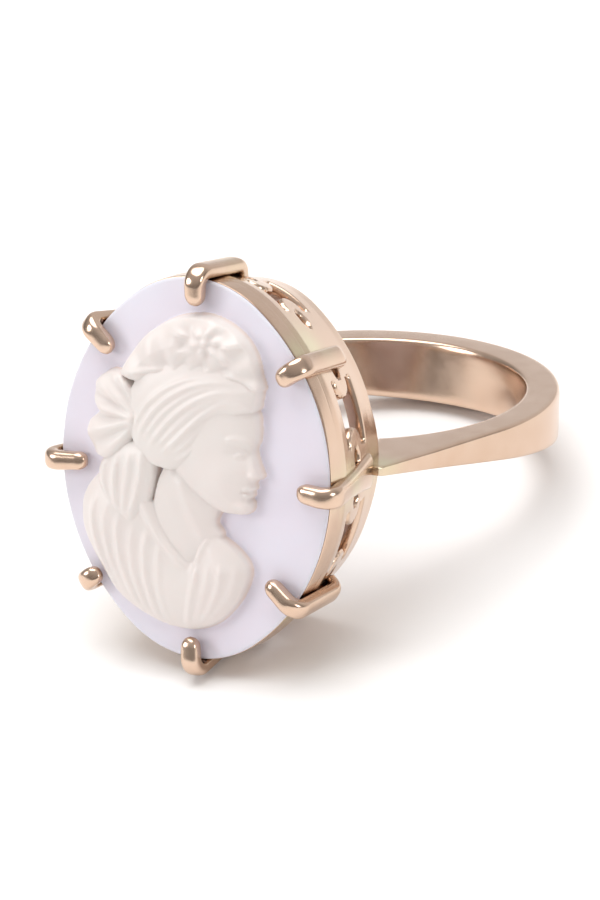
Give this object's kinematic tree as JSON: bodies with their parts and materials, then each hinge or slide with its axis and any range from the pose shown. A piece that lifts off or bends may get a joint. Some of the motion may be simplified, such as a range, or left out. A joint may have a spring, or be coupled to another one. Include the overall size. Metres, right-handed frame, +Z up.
{
  "type": "cameo ring",
  "caption": "Finger ring with an oval carved cameo held by claws on a pierced scroll gallery and a plain tapered band.",
  "frame": {"origin": "middle of the ring's footprint, on the floor that it lies on", "axes": "+Z up, the cameo looks toward -Y and a little up, +X to the right of someone facing the cameo, the band runs back along +Y"},
  "size_m": [0.0204, 0.0292, 0.0198],
  "materials": {
    "rose_gold": "polished rose gold, lightly worn, pale solder at the joints",
    "carved_shell": "satin pale pink shell with a cream carved figure"
  },
  "bodies": {
    "root": {"mount": "rose_gold", "cameo": "carved_shell"}
  },
  "joints": []
}
